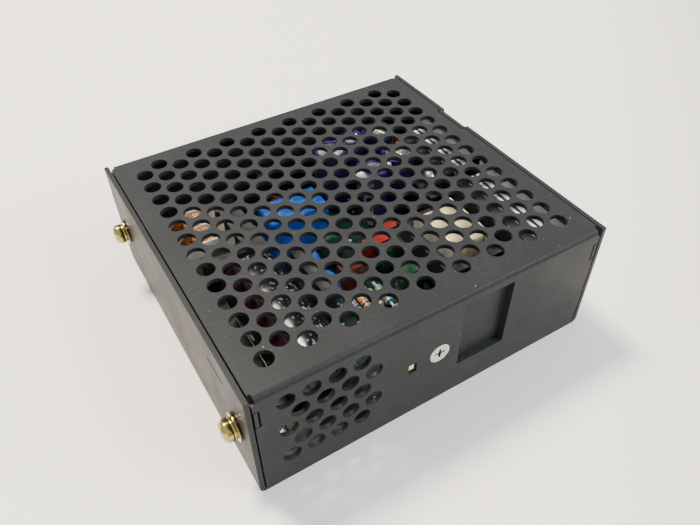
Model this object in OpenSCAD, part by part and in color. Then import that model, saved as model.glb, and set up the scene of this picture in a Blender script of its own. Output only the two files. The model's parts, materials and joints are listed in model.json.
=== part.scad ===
// Slim switched-mode power supply for a 35 mm top-hat rail, lying on its broad side.
// +X runs along the front panel, +Y from the front panel to the rail side, +Z through the vented cover.
// The origin is the centre of the base. In service the front panel faces the user, +X points down.

/* [Case] */
// Length of the case along the front panel
case_l = 96.4; // [94:0.1:120]
// Breadth of the case from the front panel to the rail side
case_b = 89.5; // [88.5:0.1:110]
// Thickness of the case through the vented cover
case_t = 34; // [33:0.1:45]
// Thickness of the sheet metal
sheet = 1.2; // [1:0.1:1.4]
// Outer radius of the sheet-metal bends
bend_r = 1.5; // [1.4:0.1:2]
// Gap between the cover and the side walls
seam = 0.35; // [0.25:0.05:0.5]

/* [Vents] */
// Diameter of a vent hole
vent_d = 4.4; // [3.6:0.1:4.8]
// Distance between vent columns
vent_col = 5; // [4.8:0.1:6]
// Distance between the holes of one column
vent_row = 6; // [6:0.1:7]
// Number of vent rows in the front panel
front_rows = 5; // [1:1:5]
// Number of vent holes in one row of the front panel
front_holes = 4; // [1:1:4]

/* [Front panel] */
// Distance of the status window from the left face
window_x = 40.2; // [37:0.1:42]
// Width of the status window
window_w = 2.2; // [1.5:0.1:3]
// Height of the status window
window_h = 3; // [2:0.1:4]
// Distance of the front screw from the left face
front_screw_x = 47.9; // [47:0.1:49]
// Depth of the panel screw and the status window below the cover
front_line = 16.2; // [15:0.1:17]
// Left edge of the pressed recess
recess_x = 53.7; // [53.5:0.1:60]
// Width of the pressed recess
recess_w = 14.3; // [8:0.1:16]
// Height of the pressed recess
recess_h = 21; // [12:0.5:22]
// Depth of the pressed recess
recess_depth = 2; // [1:0.1:2.5]

/* [Side screws] */
// Distance between the two side screws
side_pitch = 74; // [60:0.5:76]
// Distance the side screws are backed off from the wall
backed_off = 0.3; // [0.1:0.1:0.5]

/* [Wiring side] */
// Number of wiring terminals
poles = 5; // [2:1:5]
// Distance between terminals
pole_pitch = 9.5; // [8.8:0.1:9.6]
// Start of the terminal block from the front panel
block_y = 22; // [20:0.5:24]
// Height of the terminal block
block_h = 16; // [14:0.5:17]

/* [Rail foot] */
// Width of the top-hat rail
rail_w = 35; // [35:0.1:35]
// Distance from the left face to the upper edge of the rail
rail_x = 33; // [30:0.5:34]
// Width of the foot across the rail
foot_w = 22; // [20:0.5:28]
// Thickness of the foot plate
foot_t = 4; // [3:0.1:5]
// Length of the foot behind the latch side of the rail
foot_tail = 20; // [18:0.5:24]
// Travel of the latch
latch_travel = 3.5; // [2:0.1:4]

/* [Circuit board] */
// Height of the board above the floor
board_lift = 3.8; // [3:0.1:5]
// Thickness of the board
board_t = 1.6; // [1:0.1:2.4]
// Radius of the main capacitor
bulk_r = 9; // [7:0.1:9.2]
// Length of the main capacitor
bulk_len = 34.8; // [25:0.1:35]
// Height of the output capacitors
out_cap_h = 19; // [12:0.5:20]

/* [Hidden] */
$fn = 64;

// Fits and clearances
screw_r = 1.45;        // M3 shank, as it runs in its thread
thread_r = 1.5;        // M3 thread in a nut, lug or plate
washer_bore_r = 1.6;   // bore of a washer and clearance hole of a screw
pan_head_r = 2.75;
pan_head_h = 2.2;
flat_head_r = 2.8;
fit = 0.15;            // clearance of parts that sit in an opening
slide_fit = 0.12;      // clearance of the latch in its guides
air = 0.3;             // clearance of loose neighbours
eps = 0.01;            // overshoot of a cut

// Case
inner_t = case_t - sheet;
cover_x0 = sheet + seam;
cover_x1 = case_l - sheet - seam;
tab_w = 0.9;
tab_h = 4.9;
tab_gap = 0.25;
tab_top = 4.2;         // top of a hook tab below the cover
tab_lug_t = 1;
joggle_y = 53.4;
joggle_l = 11;
joggle_web = 0.2;      // sheet left between the wall and the joggle
joggle_in = sheet - joggle_web;
joggle_h = 12;
joggle_clear = 0.4;
slit_y = 12.5;
slit_l = 8.1;
slit_w = 0.7;
slit_drop = 7.8;
relief_w = 0.8;
relief_l = 1.9;
lug_w = 8;
lug_y = sheet + 0.3;
lug_over = 5;
front_z = case_t - front_line;
window_z = front_z - 0.3;
vent_x0 = 8.4;
vent_x_end = 7.9;
vent_y0 = 8.1;
vent_y_end = 6.3;
front_vent_x0 = 8.7;
front_vent_drop = 5.1;
recess_z1 = case_t - 3.2;
mid_z = case_t / 2;
mid_y = case_b / 2;

// Side screws with their washers
flat_washer_t = 0.5;
flat_washer_r = 3.5;
spring_washer_t = 0.7;
spring_washer_r = 2.6;
spring_washer_split = 0.6;
nut_t = 2;
nut_r = 3;
side_shank = 6.5;
head_x = -backed_off - flat_washer_t - spring_washer_t;
side_y = [mid_y - side_pitch / 2, mid_y + side_pitch / 2];

// Board and its supports
floor_top = sheet;
board_z = floor_top + board_lift;
top_z = board_z + board_t;
board_edge_l = 4;
board_edge_r = 2.4;
board_edge_y = 3.2;
sheet_film = 0.4;
standoff_r = 3;
standoffs = [[8.5, 8.5], [8.5, case_b - 7.5], [case_l - 7, 8.5], [case_l - 15.9, case_b - 5.2]];

// Wiring side
block_x0 = case_l - 10;
block_x1 = case_l + 1;
block_base = 5;
block_z0 = top_z + 0.2;
barrier = 1.2;
block_len = poles * pole_pitch + barrier;
block_top_wall = 1.6;
plate_t = 1;
plate_w = 7;
plate_h = 10;
clamp_w = 6.4;
clamp_t = 0.9;
plate_x = block_x0 + block_base;
terminal_head_x = plate_x + plate_t + clamp_t;
terminal_shank = 5;
pole_z = block_z0 + (block_h - block_top_wall) / 2;
function pole_y(i) = block_y + barrier / 2 + pole_pitch * (i - 0.5);

// Trimmer
trim_w = 6.5;
trim_d = 4.8;
trim_y = case_b - 6.25;
trim_x1 = case_l - 2.2;
trim_z = top_z + trim_w / 2;
rotor_r = 2;
rotor_t = 1.2;
rotor_proud = 0.4;

// Rail foot and latch
foot_y = case_b;
seat_y = foot_y + foot_t;
pad_t = 0.4;           // height of the rail pad over the foot plate
pad_gap = 0.5;         // distance of the rail pad from the hook and the latch
plate_y = seat_y - pad_t;
lip_gap = 1.3;
hook_t = 2.3;
back_y = seat_y + lip_gap + hook_t;
hook_len = 8;
hook_over = 2.2;
rail_clear = 0.3;
rail_x1 = rail_x + rail_w + rail_clear;
foot_x0 = rail_x - hook_len;
foot_x1 = rail_x1 + foot_tail;
guide_w = 3;
guide_lip = 1.5;
guide_lip_t = 1.1;
latch_w = foot_w - 2 * guide_w - 2 * slide_fit;
latch_x0 = rail_x1 - 2;
latch_x1 = case_l + 4;
latch_rib_w = latch_w - 2 * guide_lip - 2 * slide_fit;
latch_flange_y1 = back_y - guide_lip_t - slide_fit;
latch_y0 = plate_y + slide_fit;
spring_r = 1.35;
spring_wire = 0.5;
spring_turns = 6;
spring_x0 = rail_x1 + 5.5;
spring_len = 8;
post_t = 2;
post_drop = 0.4;
post_x = spring_x0 + spring_len;
window_half = 2.4;
foot_screw_x = [rail_x + 10, rail_x + rail_w - 10];
foot_screw_len = 9;
boss_r = 2.6;
boss_t = 1.2;
slot_l = 6;
slot_t = 2;
slot_rim = 1.6;

// Main capacitor, lying along Y
bulk_x = 21.8;
bulk_y = 11.8;
bulk_z = top_z + bulk_r + 0.3;
sleeve_t = 0.25;
sleeve_lip = 1.2;
bung_t = 2.5;
lead_r = 0.4;
lead_out = 2;

// Mains choke, bobbin along Y
choke_x = 16;
choke_y = 60.5;
choke_w = 15;
choke_flange = 0.8;
choke_wide = 15;
choke_high = 14.4;
choke_z = top_z + 0.5 + choke_high / 2;
choke_leg_r = 3;
choke_tube_t = 0.8;
choke_wind_r = 7;
yoke_t = 4;
yoke_far = 28;
yoke_h = 6;

// Transformer, bobbin along X
trafo_x = 74;
trafo_y = 30.3;
trafo_core_l = 18.6;
trafo_core_w = 25;
trafo_core_h = 8;
trafo_leg = 7;
trafo_yoke = 3;
trafo_limb = 3;
trafo_wind = 16;
trafo_tube_t = 0.7;
trafo_flange = 0.8;
trafo_z = top_z + 0.8 + trafo_wind / 2;

// Heatsinks: a leg on the board, a flange over the terminal block and an upturned lip
sink_x = case_l - 12.2;
sink_t = 1.5;
sink_z1 = case_t - 8.3;
sink_flange = 9.4;
sink_lip = 4.8;
input_sink = [5, 37];
output_sink = [46, 24];
semi_w = 10;
semi_t = 4.4;
semi_h = 15;
semi_tab = 1.3;
semi_y = [12, 51.5];
semi_z = top_z + 3;
semi_hole_z = semi_z + semi_h - 3;

// Output side
out_caps = [[62, 74.5, 5], [80, 76, 5], [78.6, 62.6, 5], [68.6, 60, 4], [71, 77, 4]];
inductor = [48.5, 75.5];
inductor_ring_r = 5;
inductor_ring_t = 2;
inductor_wire_r = 0.45;
inductor_turns = 18;
inductor_z = top_z + 0.4 + inductor_ring_t + 2 * inductor_wire_r;

// Small parts
red_caps = [[65.1, 46.6], [58, 43], [47.1, 38]];
green_caps = [[60.9, 38.9], [59.9, 28.5]];
film_size = [7.2, 3.5, 9];
resistor_r = 1.2;       // rows of resistors: first place and number
resistor_l = 6.5;
resistor_rows = [[41.5, 19.9, 5], [43.5, 30.2, 4]];
resistor_step = 3;
chip = [9.4, 6.4, 3.3];
chips = [[52, 10.5], [67, 10.5]];
line_cap = [17.8, 10, 16];
line_cap_at = [33, 56];
disc_x = 39.6;
disc_y = [36.5, 46.4];
disc_r = 4.4;
disc_t = 3.4;
ntc_at = [48.5, 50.5];
ntc_r = 4.5;
orange_disc_at = [case_l - 5.9, 75.3];
fuse_at = [7.9, 27];
fuse_r = 2.6;
fuse_l = 20;
fuse_cap_l = 5;
bridge = [3.6, 18, 14];
bridge_at = [32.4, 27];
led_y = 0.5;
led_len = 5.5;
led_w = window_w - 2 * fit - 0.15;
led_h = window_h - 2 * fit - 0.3;
led_rim = 0.5;
led_rim_t = 0.8;
led_base = [4.8, 4, 2.4];

// Shared shapes, in corner coordinates

module from_corner() {
    translate([-case_l / 2, -case_b / 2, 0]) children();
}

module along_x(x, y, z) {
    translate([x, y, z]) rotate([0, 90, 0]) children();
}

module along_y(x, y, z) {
    translate([x, y, z]) rotate([-90, 0, 0]) children();
}

// Bar with one rounded bend at its lower left, seen along the fold
module bent_corner(r) {
    difference() {
        square([r, r]);
        translate([r, r]) circle(r = r);
    }
}

// Screw with a pan head: the head rises from z = 0, the shank goes down
module pan_screw(length) {
    difference() {
        union() {
            cylinder(r = pan_head_r, h = pan_head_h * 0.6);
            translate([0, 0, pan_head_h * 0.6])
                cylinder(r1 = pan_head_r, r2 = pan_head_r * 0.7, h = pan_head_h * 0.4);
            translate([0, 0, -length]) cylinder(r = screw_r, h = length + eps);
        }
        cross_slot(pan_head_h);
    }
}

// Cross recess cut from the top of a head
module cross_slot(top) {
    slot_deep = 1.1;
    for (a = [0, 90])
        rotate([0, 0, a])
            translate([-1.5, -0.35, top - slot_deep]) cube([3, 0.7, slot_deep + eps]);
}

// Flat-head screw: the head's face is at z = 0, the shank goes down
module flat_screw(length) {
    cone_h = flat_head_r - screw_r;
    difference() {
        union() {
            translate([0, 0, -cone_h]) cylinder(r1 = screw_r, r2 = flat_head_r, h = cone_h);
            translate([0, 0, -length]) cylinder(r = screw_r, h = length - cone_h + eps);
        }
        cross_slot(0);
    }
}

module flat_screw_sink() {
    cone_h = flat_head_r - screw_r;
    translate([0, 0, -cone_h - fit])
        cylinder(r1 = washer_bore_r, r2 = flat_head_r + fit, h = cone_h + fit + eps);
    translate([0, 0, -2 * foot_t]) cylinder(r = washer_bore_r, h = 2 * foot_t);
}

module ring(r_out, r_in, h) {
    difference() {
        cylinder(r = r_out, h = h);
        translate([0, 0, -eps]) cylinder(r = r_in, h = h + 2 * eps);
    }
}

// Disc with a rounded rim, standing across X, on two leads
module coated_disc(r, t, z) {
    along_x(-t / 2, 0, z) rotate_extrude() {
        translate([0, 0]) square([r - t / 2, t]);
        translate([r - t / 2, t / 2]) intersection() {
            circle(r = t / 2);
            translate([0, -t]) square([t, 2 * t]);
        }
    }
    for (side = [-1, 1])
        translate([0, side * r * 0.55, top_z]) cylinder(r = lead_r, h = z - top_z);
}

// Case

module chassis() {
    color("dimgray") from_corner() difference() {
        union() {
            translate([0, case_b, 0]) rotate([90, 0, 0]) linear_extrude(case_b) difference() {
                square([case_l, case_t]);
                translate([sheet, sheet]) square([case_l - 2 * sheet, case_t]);
                translate([-eps, -eps]) bent_corner(bend_r);
                translate([case_l + eps, -eps]) mirror([1, 0]) bent_corner(bend_r);
            }
            chassis_lug();
            hook_tab();
            translate([case_l, 0, 0]) mirror([1, 0, 0]) hook_tab();
            translate([case_l - sheet - joggle_in, joggle_y, case_t - joggle_h])
                cube([joggle_in + sheet, joggle_l, joggle_h]);
        }
        floor_ends();
        side_wall_cuts();
        wiring_wall_cuts();
    }
}

// The floor stops short of both end walls of the cover
module floor_ends() {
    end = sheet + fit;
    for (y = [-eps, case_b - end])
        translate([cover_x0 - fit, y, -eps]) cube([cover_x1 - cover_x0 + 2 * fit, end + eps, sheet + 1]);
}

// Lug bent up behind the front panel, tapped for the front screw
module chassis_lug() {
    difference() {
        translate([front_screw_x - lug_w / 2, lug_y, 0]) cube([lug_w, sheet, front_z + lug_over]);
        along_y(front_screw_x, 0, front_z) cylinder(r = thread_r, h = 4 * sheet);
    }
}

// Hook tab of a side wall, which stands in a notch of the front panel
module hook_tab() {
    z0 = case_t - tab_top - tab_h;
    translate([sheet - eps, sheet + fit, z0]) cube([tab_gap + seam + tab_w + eps, tab_lug_t, tab_h]);
    translate([sheet + seam + tab_gap - fit, 0, z0]) cube([tab_w, sheet + fit + tab_lug_t, tab_h]);
}

module side_wall_cuts() {
    for (y = side_y) along_x(-eps, y, mid_z) cylinder(r = thread_r, h = sheet + 2 * eps);
    translate([-eps, slit_y, case_t - slit_drop]) cube([sheet + 2 * eps, slit_l, slit_w]);
    translate([-eps, case_b - sheet - fit, case_t - tab_top - tab_h - 4])
        cube([sheet + 2 * eps, sheet, tab_h + 2 * tab_gap]);
}

module wiring_wall_cuts() {
    translate([block_x0, block_y - fit, block_z0 - fit])
        cube([20, block_len + 2 * fit, block_h + 2 * fit]);
    along_x(case_l - 2 * sheet, trim_y, trim_z) cylinder(r = rotor_r + 0.5, h = 3 * sheet);
    translate([case_l - joggle_in, joggle_y, case_t - joggle_h])
        cube([joggle_in + eps, joggle_l, joggle_h + eps]);
}

module cover() {
    color("dimgray") from_corner() difference() {
        union() {
            cover_shell();
            recess_tray();
            for (x = foot_screw_x) along_y(x, case_b - sheet - boss_t, mid_z) cylinder(r = boss_r, h = boss_t + eps);
        }
        roof_vents();
        front_panel_cuts();
        cover_edges();
        for (x = foot_screw_x) along_y(x, case_b - sheet - boss_t - eps, mid_z)
            cylinder(r = thread_r, h = 3 * sheet + boss_t);
    }
}

module cover_shell() {
    translate([cover_x0, 0, 0]) rotate([90, 0, 90]) linear_extrude(cover_x1 - cover_x0) difference() {
        square([case_b, case_t]);
        translate([sheet, -eps]) square([case_b - 2 * sheet, inner_t + eps]);
        translate([-eps, case_t + eps]) mirror([0, 1]) bent_corner(bend_r);
        translate([case_b + eps, case_t + eps]) mirror([1, 0]) mirror([0, 1]) bent_corner(bend_r);
    }
}

module recess_tray() {
    translate([recess_x - sheet, sheet - eps, recess_z1 - recess_h - sheet])
        cube([recess_w + 2 * sheet, recess_depth, recess_h + 2 * sheet]);
}

module roof_vents() {
    cols = floor((case_l - vent_x0 - vent_x_end) / vent_col);
    rows = floor((case_b - vent_y0 - vent_y_end) / vent_row);
    for (c = [0 : cols], r = [0 : rows])
        translate([vent_x0 + vent_col * c, vent_y0 + vent_row * r + (c % 2) * vent_row / 2, inner_t - 1])
            cylinder(d = vent_d, h = sheet + 2, $fn = 32);
}

module front_panel_cuts() {
    for (r = [0 : front_rows - 1], c = [0 : front_holes - 1])
        along_y(front_vent_x0 + vent_row * c + (r % 2) * vent_row / 2, -eps,
                case_t - front_vent_drop - vent_col * r)
            cylinder(d = vent_d, h = sheet + 2 * eps, $fn = 32);
    translate([window_x - window_w / 2, -eps, window_z - window_h / 2])
        cube([window_w, sheet + 2 * eps, window_h]);
    along_y(front_screw_x, 0, front_z) rotate([180, 0, 0]) flat_screw_sink();
    translate([recess_x, -eps, recess_z1 - recess_h]) cube([recess_w, recess_depth + eps, recess_h]);
}

// Notches for the hook tabs and the joggle, and the reliefs of the bends
module cover_edges() {
    for (side = [0, 1])
        translate([side * case_l, 0, 0]) mirror([side, 0, 0]) {
            translate([sheet, -eps, case_t - tab_top - tab_h - tab_gap])
                cube([seam + 2 * tab_gap + tab_w, sheet + 2 * eps, tab_h + 2 * tab_gap]);
            for (y = [-eps, case_b - relief_l + eps])
                translate([sheet, y, inner_t - relief_w]) cube([seam + relief_w, relief_l, sheet + 2 * relief_w]);
        }
    translate([case_l - sheet - joggle_in - seam, joggle_y - joggle_clear, inner_t - 1])
        cube([joggle_in + sheet, joggle_l + 2 * joggle_clear, sheet + 2]);
}

module front_screw() {
    color("whitesmoke") from_corner()
        along_y(front_screw_x, fit / 3, front_z) rotate([180, 0, 0]) flat_screw(6);
}

module foot_screws() {
    color("silver") from_corner() for (x = foot_screw_x)
        along_y(x, seat_y - fit, mid_z) flat_screw(foot_screw_len);
}

// Board and supports

module insulation_sheet() {
    color("gainsboro") from_corner() difference() {
        translate([board_edge_l, board_edge_y, floor_top])
            cube([case_l - board_edge_l - board_edge_r, case_b - 2 * board_edge_y, sheet_film]);
        for (p = standoffs) translate([p[0], p[1], 0]) cylinder(r = standoff_r + air, h = case_t);
    }
}

module circuit_board() {
    color("darkgreen") from_corner() difference() {
        translate([board_edge_l, board_edge_y, board_z])
            cube([case_l - board_edge_l - board_edge_r, case_b - 2 * board_edge_y, board_t]);
        for (p = standoffs) translate([p[0], p[1], 0]) cylinder(r = washer_bore_r, h = case_t);
    }
}

module board_standoffs() {
    color("silver") from_corner() for (p = standoffs) translate([p[0], p[1], floor_top])
        difference() {
            cylinder(r = standoff_r, h = board_lift, $fn = 6);
            translate([0, 0, 0.8]) cylinder(r = thread_r, h = board_lift);
        }
}

module board_screws() {
    color("silver") from_corner() for (p = standoffs) translate([p[0], p[1], top_z]) pan_screw(4.2);
}

// Rail foot

module rail_foot() {
    z0 = mid_z - foot_w / 2;
    color("black") from_corner() difference() {
        union() {
            translate([foot_x0, foot_y, z0]) cube([foot_x1 - foot_x0, plate_y - foot_y, foot_w]);
            rail_pad(z0);
            translate([foot_x0, foot_y, z0]) cube([hook_len, back_y - foot_y, foot_w]);
            translate([foot_x0, seat_y + lip_gap, z0]) cube([hook_len + hook_over, hook_t, foot_w]);
            for (side = [-1, 1]) latch_guide(side);
            translate([post_x, plate_y - eps, mid_z - window_half + slide_fit])
                cube([post_t, back_y - plate_y - post_drop, 2 * (window_half - slide_fit)]);
        }
        for (x = foot_screw_x) along_y(x, seat_y, mid_z) flat_screw_sink();
    }
}

// Raised face that the lips of the rail lie against
module rail_pad(z0) {
    x0 = rail_x + hook_over + pad_gap;
    x1 = latch_x0 - pad_gap;
    translate([x0, plate_y - eps, z0]) cube([x1 - x0, pad_t + eps, foot_w]);
}

// Guide for one edge of the latch; side is -1 below and 1 above
module latch_guide(side) {
    x0 = rail_x1 + 0.5;
    wall = [foot_x1 - x0, back_y - plate_y + eps, guide_w];
    lip = [foot_x1 - x0, guide_lip_t, guide_w + guide_lip];
    translate([x0, plate_y - eps, mid_z + (side > 0 ? foot_w / 2 - guide_w : -foot_w / 2)]) cube(wall);
    translate([x0, back_y - guide_lip_t, mid_z + (side > 0 ? foot_w / 2 - guide_w - guide_lip : -foot_w / 2)])
        cube(lip);
}

module rail_latch() {
    rib_x1 = foot_x1 + 1;
    nose_x = rail_x1 + 0.3;
    color("dimgray") from_corner() difference() {
        union() {
            translate([nose_x, latch_y0, mid_z - latch_w / 2])
                cube([latch_x1 - nose_x, latch_flange_y1 - latch_y0, latch_w]);
            translate([nose_x, latch_y0, mid_z - latch_rib_w / 2])
                cube([rib_x1 - nose_x, back_y - latch_y0, latch_rib_w]);
            latch_nose(nose_x);
        }
        translate([spring_x0, plate_y, mid_z - window_half])
            cube([spring_len + post_t + slide_fit, back_y - plate_y + 1, 2 * window_half]);
        translate([latch_x1 - slot_t - slot_rim, plate_y, mid_z - slot_l / 2])
            cube([slot_t, back_y - plate_y + 1, slot_l]);
    }
}

// Wedge that snaps behind the lip of the rail
module latch_nose(nose_x) {
    y0 = seat_y + lip_gap;
    translate([0, 0, mid_z - latch_rib_w / 2]) linear_extrude(latch_rib_w)
        polygon([[latch_x0, y0], [nose_x + 2, y0], [nose_x + 2, back_y], [nose_x, back_y], [latch_x0, y0 + 0.8]]);
}

// Compression spring between the latch and the post of the foot
function coil_point(t) = [t * (spring_len - 2 * spring_wire) + spring_wire,
    spring_r * cos(360 * spring_turns * t), spring_r * sin(360 * spring_turns * t)];

module latch_spring() {
    steps = 12 * spring_turns;
    sides = 8;
    wire = spring_wire / 2;
    points = [for (i = [0 : steps], s = [0 : sides - 1])
        let (p = coil_point(i / steps), a = 360 * spring_turns * i / steps, b = 360 * s / sides)
            p + [wire * sin(b), wire * cos(b) * cos(a), wire * cos(b) * sin(a)]];
    walls = [for (i = [0 : steps - 1], s = [0 : sides - 1])
        let (a = i * sides + s, b = i * sides + (s + 1) % sides) [a, b, b + sides, a + sides]];
    first = [[for (s = [sides - 1 : -1 : 0]) s]];
    last = [[for (s = [0 : sides - 1]) steps * sides + s]];
    color("silver") from_corner() translate([spring_x0, (seat_y + back_y) / 2, mid_z])
        polyhedron(points, concat(first, walls, last), convexity = 10);
}

// Side screws

module side_screw(y) {
    color("goldenrod") from_corner() along_x(head_x, y, mid_z) mirror([0, 0, 1]) pan_screw(side_shank);
}

module spring_washer(y) {
    color("goldenrod") from_corner() along_x(head_x, y, mid_z) difference() {
        ring(spring_washer_r, washer_bore_r, spring_washer_t);
        rotate([20, 0, 35]) translate([0, -spring_washer_split / 2, -1])
            cube([4, spring_washer_split, 3]);
    }
}

module flat_washer(y) {
    color("goldenrod") from_corner() along_x(head_x + spring_washer_t, y, mid_z)
        ring(flat_washer_r, washer_bore_r, flat_washer_t);
}

module side_screw_front() { side_screw(side_y[0]); }
module spring_washer_front() { spring_washer(side_y[0]); }
module flat_washer_front() { flat_washer(side_y[0]); }
module side_screw_rear() { side_screw(side_y[1]); }
module spring_washer_rear() { spring_washer(side_y[1]); }
module flat_washer_rear() { flat_washer(side_y[1]); }

module clinch_nuts() {
    color("silver") from_corner() for (y = side_y) along_x(sheet, y, mid_z) ring(nut_r, thread_r, nut_t);
}

// Wiring side

module terminal_block() {
    color("black") from_corner() difference() {
        translate([block_x0, block_y, block_z0]) cube([block_x1 - block_x0, block_len, block_h]);
        for (i = [1 : poles]) {
            translate([plate_x, pole_y(i) - (pole_pitch - barrier) / 2, block_z0 - eps])
                cube([block_x1 - plate_x + eps, pole_pitch - barrier, block_h - block_top_wall]);
            along_x(block_x0 + 1, pole_y(i), pole_z) cylinder(r = washer_bore_r, h = block_base);
        }
    }
}

module terminal_plates() {
    color("silver") from_corner() for (i = [1 : poles]) difference() {
        translate([plate_x, pole_y(i) - plate_w / 2, pole_z - plate_h / 2]) cube([plate_t, plate_w, plate_h]);
        along_x(plate_x - eps, pole_y(i), pole_z) cylinder(r = thread_r, h = plate_t + 2 * eps);
    }
}

module terminal_screw(i) {
    color("silver") from_corner() along_x(terminal_head_x, pole_y(i), pole_z) pan_screw(terminal_shank);
}

module clamp_plate(i) {
    color("silver") from_corner() difference() {
        translate([plate_x + plate_t, pole_y(i) - clamp_w / 2, pole_z - clamp_w / 2])
            cube([clamp_t, clamp_w, clamp_w]);
        along_x(plate_x, pole_y(i), pole_z) cylinder(r = washer_bore_r, h = 4);
    }
}

module terminal_screw_1() { terminal_screw(1); }
module terminal_screw_2() { terminal_screw(2); }
module terminal_screw_3() { terminal_screw(3); }
module terminal_screw_4() { terminal_screw(4); }
module terminal_screw_5() { terminal_screw(5); }
module clamp_plate_1() { clamp_plate(1); }
module clamp_plate_2() { clamp_plate(2); }
module clamp_plate_3() { clamp_plate(3); }
module clamp_plate_4() { clamp_plate(4); }
module clamp_plate_5() { clamp_plate(5); }

module trimmer_body() {
    color("royalblue") from_corner() difference() {
        translate([trim_x1 - trim_d, trim_y - trim_w / 2, top_z]) cube([trim_d, trim_w, trim_w]);
        along_x(trim_x1 - rotor_t + rotor_proud, trim_y, trim_z) cylinder(r = rotor_r + 0.05, h = rotor_t + 1);
    }
}

module trimmer_rotor() {
    color("white") from_corner() along_x(trim_x1 - rotor_t + rotor_proud, trim_y, trim_z) difference() {
        cylinder(r = rotor_r, h = rotor_t);
        translate([-1.5, -0.3, rotor_t - 0.6]) cube([3, 0.6, 1]);
    }
}

// Status light

module status_led() {
    color("yellowgreen") from_corner()
        translate([window_x - window_w / 2 + fit, led_y, window_z + window_h / 2 - fit - led_h]) {
            cube([led_w, led_len, led_h]);
            translate([-led_rim, led_len - led_rim_t, -led_rim])
                cube([led_w + 2 * led_rim, led_rim_t, led_h + 2 * led_rim]);
        }
}

module led_holder() {
    color("black") from_corner() translate([window_x - led_base[0] / 2, led_y + led_len, top_z])
        cube([led_base[0], led_base[1], window_z - top_z + led_base[2]]);
}

// Mains side

module bulk_capacitor_can() {
    r = bulk_r - sleeve_t;
    color("silver") from_corner() along_y(bulk_x, bulk_y + sleeve_t, bulk_z) difference() {
        cylinder(r = r, h = bulk_len - 2 * sleeve_t);
        translate([0, 0, bulk_len - 2 * sleeve_t - bung_t]) cylinder(r = r - 0.4, h = bung_t + eps);
    }
}

module bulk_capacitor_sleeve() {
    color("black") from_corner() along_y(bulk_x, bulk_y, bulk_z) difference() {
        cylinder(r = bulk_r, h = bulk_len);
        translate([0, 0, sleeve_t]) cylinder(r = bulk_r - sleeve_t, h = bulk_len - 2 * sleeve_t);
        translate([0, 0, -eps]) cylinder(r = bulk_r - sleeve_lip, h = bulk_len + 2 * eps);
    }
}

module bulk_capacitor_bung() {
    y1 = bulk_y + bulk_len - sleeve_t;
    color("dimgray") from_corner() {
        along_y(bulk_x, y1 - bung_t, bulk_z) cylinder(r = bulk_r - sleeve_t - 0.4, h = bung_t);
        for (side = [-1, 1]) {
            along_y(bulk_x + side * 3.75, y1 - eps, bulk_z) cylinder(r = lead_r, h = lead_out);
            translate([bulk_x + side * 3.75, y1 + lead_out, top_z]) cylinder(r = lead_r, h = bulk_z - top_z + lead_r);
        }
    }
}

module choke_core() {
    x0 = choke_x - choke_leg_r;
    mid = choke_y + choke_w / 2;
    color("dimgray") from_corner() for (side = [0, 1])
        translate([0, mid, 0]) mirror([0, side, 0]) {
            translate([x0, choke_w / 2 + air, choke_z - yoke_h / 2])
                cube([yoke_far + choke_leg_r - x0, yoke_t, yoke_h]);
            along_y(choke_x, 0, choke_z) cylinder(r = choke_leg_r - 0.1, h = choke_w / 2 + air + eps);
            translate([yoke_far - choke_leg_r, 0, choke_z - yoke_h / 2])
                cube([2 * choke_leg_r, choke_w / 2 + air + eps, yoke_h]);
        }
}

module choke_bobbin() {
    flanges = [0, (choke_w - choke_flange) / 2, choke_w - choke_flange];
    color("ivory") from_corner() difference() {
        union() {
            along_y(choke_x, choke_y, choke_z) cylinder(r = choke_leg_r + choke_tube_t, h = choke_w);
            for (f = flanges) translate([choke_x - choke_wide / 2, choke_y + f, choke_z - choke_high / 2])
                cube([choke_wide, choke_flange, choke_high]);
        }
        along_y(choke_x, choke_y - eps, choke_z) cylinder(r = choke_leg_r, h = choke_w + 2 * eps);
    }
}

module choke_windings() {
    len = (choke_w - 3 * choke_flange) / 2;
    color("chocolate") from_corner() for (k = [0, 1])
        along_y(choke_x, choke_y + choke_flange + k * (len + choke_flange), choke_z)
            ring(choke_wind_r, choke_leg_r + choke_tube_t, len);
}

module line_capacitor() {
    color("royalblue") from_corner()
        translate([line_cap_at[0], line_cap_at[1], top_z]) cube(line_cap);
}

module safety_capacitors() {
    color("royalblue") from_corner() for (y = disc_y)
        translate([disc_x, y, 0]) coated_disc(disc_r, disc_t, top_z + disc_r + 2);
}

module fuse_tube() {
    color("lightyellow") from_corner()
        along_y(fuse_at[0], fuse_at[1] - fuse_l / 2 + 0.5, top_z + fuse_r + 0.6)
            ring(fuse_r - 0.2, fuse_r - 0.8, fuse_l - 1);
}

module fuse_caps() {
    color("silver") from_corner() for (side = [0, 1])
        translate([fuse_at[0], fuse_at[1], top_z + fuse_r + 0.6]) mirror([0, side, 0]) {
            along_y(0, fuse_l / 2 - fuse_cap_l, 0) difference() {
                cylinder(r = fuse_r, h = fuse_cap_l);
                translate([0, 0, -eps]) cylinder(r = fuse_r - 0.15, h = fuse_cap_l - 0.4);
            }
            along_y(0, fuse_l / 2 - eps, 0) cylinder(r = lead_r, h = 1.6);
            translate([0, fuse_l / 2 + 1.6, -fuse_r - 0.6]) cylinder(r = lead_r, h = fuse_r + 0.6 + lead_r);
        }
}

module inrush_thermistor() {
    color("darkolivegreen") from_corner() translate([ntc_at[0], ntc_at[1], 0])
        rotate([0, 0, 90]) coated_disc(ntc_r, disc_t, top_z + ntc_r + 2);
}

module bridge_rectifier() {
    color("black") from_corner() {
        translate([bridge_at[0], bridge_at[1], top_z + 2]) cube(bridge);
        for (k = [0 : 3])
            translate([bridge_at[0] + bridge[0] / 2, bridge_at[1] + 2 + k * 4.6, top_z])
                cylinder(r = 0.5, h = 2 + eps);
    }
}

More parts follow.
